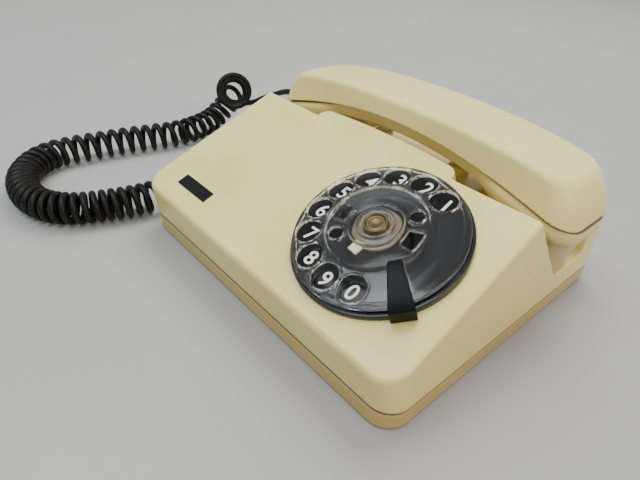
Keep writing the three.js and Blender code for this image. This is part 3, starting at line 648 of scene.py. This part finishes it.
def cord_path():
    """The strand's centreline: from the handset, along the coil and into the housing."""
    route = smooth_route(COIL_ROUTE, 0.05)
    run = np.concatenate([[0], np.cumsum(np.linalg.norm(np.diff(route, axis=0), axis=1))])
    end = run[-1]
    radius = np.interp(run, *zip(*COIL_RADIUS))
    rate = 2 * math.pi / np.interp(run, *zip(*PITCH))
    left = np.clip((end - run) / COIL_FADE, 0, 0.9999)
    rate = np.minimum(rate, np.tan(np.arcsin(left)) / radius)
    turn = np.concatenate([[0], np.cumsum((rate[1:] + rate[:-1]) / 2 * np.diff(run))])
    normal, side = frames(route, (0.63, 0.35, -0.685))
    down = math.atan2(-side[-1][2], -normal[-1][2])
    whole = round((turn[-1] - down) / (2 * math.pi))
    turn *= (whole * 2 * math.pi + down) / turn[-1]
    outward = np.cos(turn)[:, None] * normal + np.sin(turn)[:, None] * side
    coil = route + radius[:, None] * outward
    joined = np.vstack(
        [
            smooth_route([*STRAND_FROM_HANDSET, coil[0], coil[5]], STRAND_STEP)[:-7],
            coil[1:-8],
            smooth_route([coil[-40], coil[-1], *STRAND_TO_HOUSING], STRAND_STEP)[5:],
        ]
    )
    path = even(joined, STRAND_STEP)
    for _ in range(6):
        path[1:-1] = (path[:-2] + 2 * path[1:-1] + path[2:]) / 4
    return even(path, CORD_STEP)


cord_line = cord_path()
handset_cord = tube("handset_cord", cord_line, STRAND_RADIUS, 10)
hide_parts("cord_strand_handset", "cord_coil", "cord_strand_housing")
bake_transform(handset_cord)

# ---------------------------------------------------------------- materials
class Shader:
    """One Principled material whose nodes are laid out by short calls."""

    def __init__(self, name, roughness=0.4, metallic=0.0, coat=0.0, ior=1.5):
        self.material = bpy.data.materials.new(name)
        self.material.use_nodes = True
        self.tree = self.material.node_tree
        self.principled = self.tree.nodes["Principled BSDF"]
        self.principled.inputs["Roughness"].default_value = roughness
        self.principled.inputs["Metallic"].default_value = metallic
        self.principled.inputs["Coat Weight"].default_value = coat
        self.principled.inputs["Coat Roughness"].default_value = 0.12
        self.principled.inputs["IOR"].default_value = ior
        self.place = self.tree.nodes.new("ShaderNodeTexCoord").outputs["Object"]

    def node(self, kind, **settings):
        made = self.tree.nodes.new(kind)
        for key, value in settings.items():
            setattr(made, key, value)
        return made

    def link(self, source, target):
        if hasattr(source, "is_output"):
            self.tree.links.new(source, target)
        else:
            target.default_value = source

    def stretched(self, scale):
        mapping = self.node("ShaderNodeMapping")
        mapping.inputs["Scale"].default_value = scale
        self.link(self.place, mapping.inputs["Vector"])
        return mapping.outputs["Vector"]

    def noise(self, scale, detail=4.0, rough=0.55, place=None):
        made = self.node("ShaderNodeTexNoise")
        self.link(place or self.place, made.inputs["Vector"])
        made.inputs["Scale"].default_value = scale
        made.inputs["Detail"].default_value = detail
        made.inputs["Roughness"].default_value = rough
        return made.outputs["Fac"]

    def spread(self, source, low, high, to_low=0.0, to_high=1.0):
        made = self.node("ShaderNodeMapRange", interpolation_type="SMOOTHSTEP")
        ends = {"From Min": low, "From Max": high, "To Min": to_low, "To Max": to_high}
        for key, value in ends.items():
            made.inputs[key].default_value = value
        self.link(source, made.inputs["Value"])
        return made.outputs["Result"]

    def math(self, operation, a, b=0.0):
        made = self.node("ShaderNodeMath", operation=operation)
        self.link(a, made.inputs[0])
        self.link(b, made.inputs[1])
        return made.outputs[0]

    def edges(self, low, high):
        return self.spread(self.node("ShaderNodeNewGeometry").outputs["Pointiness"], low, high)

    def mix(self, share, a, b):
        made = self.node("ShaderNodeMix", data_type="RGBA")
        self.link(share, made.inputs["Factor"])
        self.link(a if hasattr(a, "is_output") else (*a, 1), made.inputs["A"])
        self.link(b if hasattr(b, "is_output") else (*b, 1), made.inputs["B"])
        return made.outputs["Result"]

    def colour(self, source):
        self.link(source, self.principled.inputs["Base Color"])

    def roughness(self, source):
        self.link(source, self.principled.inputs["Roughness"])

    def bump(self, height, strength=0.2, distance=0.0002):
        made = self.node("ShaderNodeBump")
        made.inputs["Strength"].default_value = strength
        made.inputs["Distance"].default_value = distance
        self.link(height, made.inputs["Height"])
        self.link(made.outputs["Normal"], self.principled.inputs["Normal"])


def srgb(red, green, blue):
    """A colour given as 0 to 255 values, made linear."""
    shares = (red / 255, green / 255, blue / 255)
    return tuple(c / 12.92 if c <= 0.04045 else ((c + 0.055) / 1.055) ** 2.4 for c in shares)


# colours for painted shade well below a seam, for the painted shadow in a seam's gap, and for real
# dust
DEEP_SHADE, SEAM_SHADOW, DUST = (0.3, 0.22, 0.1), (0.085, 0.062, 0.025), (0.22, 0.21, 0.19)
RIM = "rim"  # the mesh attribute that holds the distance under a seam


def aged_plastic(name, clean, yellowed, edge_wear_and_highlight, shadow_attribute="", deep_shade=0.0):
    """Moulded ABS: cloudy yellowing, faint rub marks and a very fine orange peel.

    The optional mesh attribute that it names holds the distance in millimetres under a seam. Close
    to the seam the plastic is darkened as a painted shadow of the seam's gap, and the last argument
    is how much painted shade darkens it well below the seam.
    """
    s = Shader(name, coat=0.16, ior=1.5)
    s.principled.inputs["Specular IOR Level"].default_value = 0.36
    cloud = s.spread(s.noise(16, 3), 0.35, 0.7)
    base = s.mix(cloud, clean, yellowed)
    speck = s.spread(s.noise(1900, 2, 0.7), 0.68, 0.76, 0, 0.28)
    base = s.mix(speck, base, tuple(0.72 * c for c in yellowed))
    # lighter convex edges: partly edge wear, partly a painted highlight along the edges
    base = s.mix(s.math("MULTIPLY", s.edges(0.515, 0.58), 0.35), base, edge_wear_and_highlight)
    if shadow_attribute:
        near = s.node("ShaderNodeAttribute", attribute_name=shadow_attribute).outputs["Fac"]
        # painted shade: the colour darkens well below the seam, deep in the cups
        base = s.mix(s.spread(near, 2, 12, 0, deep_shade), base, DEEP_SHADE)
        # painted shadow: a dark line close to the seam, where its gap lies in shade
        base = s.mix(s.spread(near, 0.15, 0.75, 0.9, 0), base, SEAM_SHADOW)
    s.colour(base)
    rubs = s.noise(60, 6, 0.7, s.stretched((1, 9, 4)))
    peel = s.noise(1400, 2, 0.5)
    s.roughness(s.math("ADD", s.spread(rubs, 0.3, 0.75, 0.26, 0.4), s.math("MULTIPLY", peel, 0.05)))
    s.bump(s.math("ADD", peel, s.math("MULTIPLY", rubs, 0.3)), 0.09, 0.00012)
    return s.material


def dark_plastic(name, base, low, high, coat=0.0, dust=0.12, shine=0.5):
    """Dark moulded plastic with smears and flecks of dust, between two roughnesses."""
    s = Shader(name, coat=coat)
    s.principled.inputs["Specular IOR Level"].default_value = shine
    smear = s.noise(90, 5, 0.65)
    fleck = s.spread(s.noise(2600, 2, 0.8), 0.66, 0.78, 0, dust)
    smeared = s.mix(smear, base, tuple(1.5 * c + 0.002 for c in base))
    s.colour(s.mix(fleck, smeared, DUST))
    s.roughness(s.spread(smear, 0.25, 0.75, low, high))
    s.bump(s.noise(1500, 2), 0.08, 0.0001)
    return s.material


def metal(name, base, tarnish, low, high, spots=0.5):
    """Brushed metal with dull spots, between two roughnesses."""
    s = Shader(name, metallic=1.0)
    lines = s.noise(500, 4, 0.7, s.stretched((1, 1, 14)))
    dull = s.spread(s.noise(120, 4, 0.65), 0.45, 0.75, 0, spots)
    s.colour(s.mix(dull, base, tarnish))
    brushed = s.spread(lines, 0.3, 0.7, low, high)
    s.roughness(s.math("ADD", brushed, s.math("MULTIPLY", dull, 0.15)))
    s.bump(lines, 0.15, 0.00005)
    return s.material


def clear_plastic(name):
    """Clear acrylic with fine scratches; lamps shine through it on to the plate below."""
    s = Shader(name, roughness=0.05, ior=1.36)
    scratch = s.noise(700, 6, 0.75, s.stretched((1, 6, 1)))
    s.principled.inputs["Transmission Weight"].default_value = 1.0
    s.colour(s.mix(s.spread(scratch, 0.5, 0.8), (0.95, 0.955, 0.96), (0.82, 0.83, 0.84)))
    s.roughness(s.spread(scratch, 0.45, 0.85, 0.03, 0.22))
    s.bump(scratch, 0.05, 0.00005)
    let_light = s.node("ShaderNodeBsdfTransparent")
    let_light.inputs["Color"].default_value = (0.88, 0.89, 0.9, 1)
    chosen = s.node("ShaderNodeMixShader")
    s.link(s.node("ShaderNodeLightPath").outputs["Is Shadow Ray"], chosen.inputs[0])
    s.link(s.principled.outputs[0], chosen.inputs[1])
    s.link(let_light.outputs[0], chosen.inputs[2])
    s.link(chosen.outputs[0], s.tree.nodes["Material Output"].inputs["Surface"])
    return s.material


def wound_copper(name):
    s = Shader(name, metallic=0.7)
    wave = s.node("ShaderNodeTexWave", wave_type="BANDS", bands_direction="X")
    s.link(s.place, wave.inputs["Vector"])
    wave.inputs["Scale"].default_value = 700
    wave.inputs["Distortion"].default_value = 1.5
    varnish = s.noise(200, 4)
    s.colour(s.mix(varnish, (0.33, 0.085, 0.03), (0.52, 0.2, 0.08)))
    s.roughness(s.spread(varnish, 0.3, 0.7, 0.25, 0.5))
    s.bump(wave.outputs["Fac"], 0.6, 0.0002)
    return s.material


def paper_board(name):
    s = Shader(name, coat=0.2)
    fibre = s.noise(300, 6, 0.7, s.stretched((1, 5, 1)))
    track = s.node("ShaderNodeTexVoronoi", feature="DISTANCE_TO_EDGE")
    s.link(s.place, track.inputs["Vector"])
    track.inputs["Scale"].default_value = 150
    base = s.mix(fibre, (0.2, 0.105, 0.032), (0.31, 0.18, 0.06))
    tracks = s.spread(track.outputs["Distance"], 0.05, 0.12, 0.55, 0)
    s.colour(s.mix(tracks, base, (0.09, 0.1, 0.03)))
    s.roughness(s.spread(fibre, 0.3, 0.7, 0.4, 0.65))
    s.bump(fibre, 0.2, 0.0001)
    return s.material


CREAM = aged_plastic("cream_abs", srgb(231, 219, 146), srgb(224, 208, 131), srgb(236, 227, 170))
# the lower shell's cream: a darker copy of the cream as painted shade, with the seam's painted
# shadow and painted shade deep below it
CREAM_SHADED = aged_plastic(
    "cream_abs_shaded", srgb(224, 208, 144), srgb(217, 198, 128), srgb(230, 218, 168), RIM, 0.55
)
PAN = aged_plastic("tan_abs", srgb(192, 170, 105), srgb(182, 156, 91), srgb(206, 188, 133), RIM)
BLACK = dark_plastic("black_abs", (0.005, 0.0056, 0.0075), 0.18, 0.34, coat=0.12, dust=0.07)
JET = dark_plastic("jet_abs", (0.004, 0.0045, 0.006), 0.3, 0.42, dust=0.05, shine=0.1)
GLOSS = dark_plastic("black_enamel", (0.002, 0.0024, 0.0036), 0.14, 0.26, dust=0.04, shine=0.3)
CORD = dark_plastic("cord_pvc", (0.0022, 0.0022, 0.0024), 0.34, 0.5, dust=0.06, shine=0.28)
RUBBER = dark_plastic("rubber", (0.016, 0.015, 0.014), 0.6, 0.85, dust=0.3)
# the clamp disc's ivory plastic darkened: partly dirt, partly painted shade under the clear wheel
CLAMP_SHADE_AND_DIRT = dark_plastic("ivory_nylon_shade_and_dirt", (0.1, 0.075, 0.04), 0.35, 0.5)
IVORY = aged_plastic("ivory_nylon", srgb(214, 206, 176), srgb(200, 190, 150), srgb(226, 220, 200))
BRASS = metal("aged_brass", (0.22, 0.18, 0.095), (0.1, 0.08, 0.04), 0.38, 0.55, spots=0.9)
STEEL = metal("zinc_steel", (0.6, 0.6, 0.6), (0.36, 0.35, 0.32), 0.24, 0.46)
COPPER = wound_copper("enamelled_wire")
BOARD = paper_board("paper_laminate")
BLUE = dark_plastic("blue_case", (0.03, 0.075, 0.2), 0.3, 0.5)
CLEAR = clear_plastic("clear_acrylic")
INK = dark_plastic("white_ink", (0.62, 0.62, 0.58), 0.45, 0.6, dust=0.1)
BY_SLOT = {
    "housing_cream": CREAM,
    "pan_tan": PAN,
    "black_plastic": BLACK,
    "black_rubber": RUBBER,
    "clear_plastic": CLEAR,
    "brass": BRASS,
    "steel": STEEL,
    "paper_board": BOARD,
    "copper": COPPER,
    "blue_case": BLUE,
    "ivory_plastic": IVORY,
}

# ---------------------------------------------------------------- floor and light
FLOOR_HALF = 4  # metres
WORLD_COLOUR, WORLD_STRENGTH = (0.985, 0.97, 0.94, 1), 0.55
# name, place and size in metres, watts, tint; all aim at the origin
LAMPS = (
    ("key", (-0.35, 0.75, 1.35), 1.1, 26.5, (1.0, 0.985, 0.95)),
    ("side", (1.5, 0.1, 0.9), 0.9, 11, (1.0, 0.82, 0.62)),
    ("front", (-0.4, -0.5, 1.3), 0.7, 8, (0.86, 0.94, 1.0)),
    ("rim", (0.28, -0.55, 1.2), 0.6, 5, (0.95, 0.98, 1.0)),
)


def make_stage():
    data = bpy.data.meshes.new("floor")
    f = FLOOR_HALF
    data.from_pydata([(-f, -f, 0), (f, -f, 0), (f, f, 0), (-f, f, 0)], [], [(0, 1, 2, 3)])
    floor = bpy.data.objects.new("floor", data)
    bpy.context.scene.collection.objects.link(floor)
    s = Shader("floor_laminate", roughness=0.5)
    s.colour(s.mix(s.noise(3, 3), srgb(158, 160, 161), srgb(165, 165, 165)))
    s.roughness(s.spread(s.noise(30, 4), 0.3, 0.7, 0.42, 0.55))
    data.materials.append(s.material)

    world = bpy.data.worlds.new("studio")
    world.use_nodes = True
    world.node_tree.nodes["Background"].inputs["Color"].default_value = WORLD_COLOUR
    world.node_tree.nodes["Background"].inputs["Strength"].default_value = WORLD_STRENGTH
    bpy.context.scene.world = world

    for name, place, size, watts, tint in LAMPS:
        lamp = bpy.data.lights.new(name, "AREA")
        lamp.size, lamp.energy, lamp.color = size, watts, tint
        made = bpy.data.objects.new(name, lamp)
        made.location = place
        made.rotation_euler = (-Vector(place)).to_track_quat("-Z", "Y").to_euler()
        made.visible_glossy = made.visible_transmission = name != "key"
        bpy.context.scene.collection.objects.link(made)


make_stage()

# ---------------------------------------------------------------- shells
def mark_rim(obj, distance):
    """Stores how far each vertex is under its rim, in millimetres, for the painted shadow along the
    seam.
    """
    spots = np.array([v.co for v in obj.data.vertices]) / MM
    rim = obj.data.attributes.new(RIM, "FLOAT", "POINT")
    rim.data.foreach_set("value", distance(spots[:, 0], spots[:, 2]))
    return obj


HOUSING, WHEEL, HANDSET = "housing_body", "finger_wheel_body", "handset_body"
dress(
    field_object("housing_shell", housing_field, (-98, -93, 10), (98, 88, 74), 1.3),
    CREAM, HOUSING, "housing_cream", "housing",
)
pan = field_object("base_pan_shell", base_pan_field, (-97, -88.5, 0), (97, 88, 11), 1.25)
# the pan gets a painted shadow along its top, under the seam's gap
dress(mark_rim(pan, lambda x, z: SEAM - SEAM_GAP - z), PAN, HOUSING, "pan_tan", "base_pan")
dress(
    field_object("handset_upper", handset_upper_field, (-102, 10, 52), (102, 61, 88), 0.9),
    CREAM, HANDSET, "housing_cream", "handset_upper_shell",
)
lower = field_object("handset_lower", handset_lower_field, (-102, 10, 24), (102, 61, 76), 0.9)
# the lower shell in the darker cream copy, with a painted shadow along the seam and painted shade
# deep in its cups
dress(mark_rim(lower, below_rim), CREAM_SHADED, HANDSET, "housing_cream", "handset_lower_shell")

# ---------------------------------------------------------------- dial
wheel = field_object("finger_wheel_clear", wheel_field, (-40, -40, 4), (40, 40, 13), 0.36)
dress(place_in_dial(wheel), CLEAR, WHEEL, "clear_plastic", "finger_wheel")

dial_ring = lathe(
    "dial_ring",
    [
        (4.6, -9), (35.4, -9), (35.6, -8.8), (35.6, -1.3), (40.3, -1.3), (40.5, -1.0), (40.5, 2.4),
        (40.1, 2.9), (39.3, 3.1), (38.9, 2.9), (38.7, 2.2), (33, 2.2), (33, -7), (4.6, -7),
    ],
)
dress(bevel(place_in_dial(dial_ring), 0.15), BLACK, HOUSING, "black_plastic", "dial_case")

plate = lathe(
    "digit_plate", [(8, 3.3), (37.4, 3.3), (37.7, 3.5), (37.7, 4.1), (37.4, 4.3), (8, 4.3)]
)
dress(place_in_dial(plate), GLOSS, HOUSING, "black_plastic", "number_plate")


DIGIT_SIZE, DIGIT_RING, DIGIT_TURN, DIGIT_Z = 10.2, 31.2, -1.3, 4.38
DIGIT_DEPTH, DIGIT_WEIGHT = 0.06, 0.12


def make_digits():
    """The digits 1 to 0, printed upright on the plate under the holes."""
    work = bmesh.new()
    for i in range(10):
        curve = bpy.data.curves.new("digit", "FONT")
        curve.body = str((i + 1) % 10)
        curve.size = DIGIT_SIZE
        curve.align_x, curve.align_y = "CENTER", "CENTER"
        curve.extrude, curve.offset = DIGIT_DEPTH, DIGIT_WEIGHT
        written = bpy.data.objects.new("digit", curve)
        bpy.context.scene.collection.objects.link(written)
        solved = written.evaluated_get(bpy.context.evaluated_depsgraph_get())
        flat = bpy.data.meshes.new_from_object(solved)
        bpy.data.objects.remove(written)
        angle = math.radians(HOLE_FIRST + HOLE_PITCH * i + DIGIT_TURN)
        place = (DIGIT_RING * math.cos(angle), DIGIT_RING * math.sin(angle), DIGIT_Z)
        flat.transform(Matrix.Translation(place))
        work.from_mesh(flat)
    data = bpy.data.meshes.new("dial_digits")
    work.transform(Matrix.Scale(MM, 4))
    work.to_mesh(data)
    made = bpy.data.objects.new("dial_digits", data)
    bpy.context.scene.collection.objects.link(made)
    return made


dress(place_in_dial(make_digits()), INK, HOUSING, "ivory_plastic")

clamp = lathe(
    "clamp_disc", [(2.9, 5.3), (10.8, 5.3), (11.1, 5.6), (11.1, 6.3), (10.8, 6.6), (2.9, 6.6)], 72
)
tab = prism("clamp_tab", [(-2.6, -15), (2.6, -15), (2.6, -10.6), (-2.6, -10.6)], 5.3, 6.6)
tab.data.transform(Matrix.Rotation(math.radians(-5), 4, "Z"))
# the clamp disc in its darkened ivory, which holds painted shade and dirt
dress(place_in_dial(clamp), CLAMP_SHADE_AND_DIRT, WHEEL, "ivory_plastic", "wheel_clamp")
dress(bevel(place_in_dial(tab), 0.4), IVORY, WHEEL, "ivory_plastic")

cap = lathe(
    "brass_cap",
    [
        (0, 8.8), (4.9, 8.8), (5.3, 9.1), (5.5, 9.7), (5.5, 11.8), (5.35, 12.3), (5.0, 12.5),
        (4.6, 12.4), (4.3, 11.7), (4.15, 11.2), (3.9, 11.05), (3.1, 11.05), (2.9, 11.25),
        (2.5, 11.25), (2.3, 11.05), (0, 11.05),
    ],
)
dress(place_in_dial(cap), BRASS, WHEEL, "brass", "centre_cap")

# the arm's side as (distance outwards, height), its length, and where and how it stands
STOP_PROFILE = (
    (0, 11.7), (0, 13.0), (2, 13.6), (9, 12.2), (15, 10.9), (19.4, 9.7), (21.2, 8.2), (21.2, 0.9),
    (19.2, 0.9), (19.2, 7.4), (16.5, 7.7), (14.5, 8.7), (9, 9.9), (2, 11.5),
)
STOP_LENGTH, STOP_AT, STOP_ANGLE = 21.2, (19.8, -10.1), math.radians(-42.2)


def make_stop():
    """The finger stop: an arm that widens as it arches over the rim, down to a square foot."""
    points = []
    for side in (-1, 1):
        points += [(s, side * (2.8 + 2.6 * s / STOP_LENGTH), z) for s, z in STOP_PROFILE]
    n = len(STOP_PROFILE)
    faces = [tuple(range(n)), tuple(reversed(range(n, 2 * n)))]
    faces += [(i, n + i, n + (i + 1) % n, (i + 1) % n) for i in range(n)]
    made = mesh_object("stop_arm", points, faces)
    fix_normals(made)
    place = Matrix.Translation((STOP_AT[0] * MM, STOP_AT[1] * MM, 0))
    made.data.transform(place @ Matrix.Rotation(STOP_ANGLE, 4, "Z"))
    return bevel(place_in_dial(made), 0.45)


dress(make_stop(), JET, HOUSING, "black_plastic", "finger_stop")

# ---------------------------------------------------------------- label, feet and cord sleeves
w, d = LABEL_HALF, LABEL_HALF_DEPTH
label = prism("label_plate", [(-w, -d), (w, -d), (w, d), (-w, d)], -0.35, 0.32)
bevel(label, 0.18)
label_at = Vector((LABEL_X, LABEL_Y, LIP_Z + (LABEL_Y - LIP_Y) * math.tan(SLOPE)))
label.data.transform(Matrix.Translation(label_at * MM) @ Matrix.Rotation(SLOPE, 4, "X"))
dress(label, GLOSS, HOUSING, "black_plastic", "badge_plate")

FOOT = [(0, 0), (5.4, 0), (6.2, 0.25), (6.7, 0.8), (6.95, 1.5), (6.95, 2.3), (0, 2.3)]
for name, (x, y) in FEET.items():
    foot = lathe("pad_" + name, FOOT, 48)
    foot.data.transform(Matrix.Translation((x * MM, y * MM, 0)))
    dress(foot, RUBBER, HOUSING, "black_rubber", "foot_" + name)


def relief(name, outline, x, y, z):
    """A rubber sleeve turned about the cord, pointing towards -X."""
    made = lathe(name, outline, 40)
    place = Matrix.Translation((x * MM, y * MM, z * MM))
    made.data.transform(place @ Matrix.Rotation(-math.pi / 2, 4, "Y"))
    return made


gland = relief(
    "gland_sleeve",
    [
        (2.15, -5.5), (3.3, -5.5), (3.3, 0.4), (4.7, 0.4), (4.9, 0.7), (4.9, 1.5),
        (4.4, 2.2), (3.6, 2.8), (2.15, 2.9),
    ],
    -BODY_WIDTH / 2, GLAND_Y, GLAND_Z,
)
dress(gland, RUBBER, HOUSING, "black_rubber", "cord_gland")
RIBS = [(3.7 - 0.12 * i - (0.45 if i % 2 else 0), 2.2 + 0.95 * i) for i in range(9)]
boot = relief(
    "handset_boot",
    [
        (0, -3), (2.3, -3), (2.3, 0.3), (3.9, 0.3), (4.0, 0.6), (4.0, 1.7),
        *RIBS, (2.5, 10.7), (2.1, 10.8), (0, 10.8),
    ],
    -HANDSET_HALF, HANDSET_Y, CORD_EXIT_Z,
)
dress(boot, RUBBER, HANDSET, "black_rubber", "handset_cord_bush")

handset_cord.data.materials.append(CORD)

# ---------------------------------------------------------------- the CAD nodes that stay
for part in frame["record"]["subparts"]:
    node = nodes[part["node"]]
    if not node.hide_render:
        node.data.materials.clear()
        node.data.materials.append(BY_SLOT[part["material_slot"]])
        bevel(node, 0.2, 2, 40)
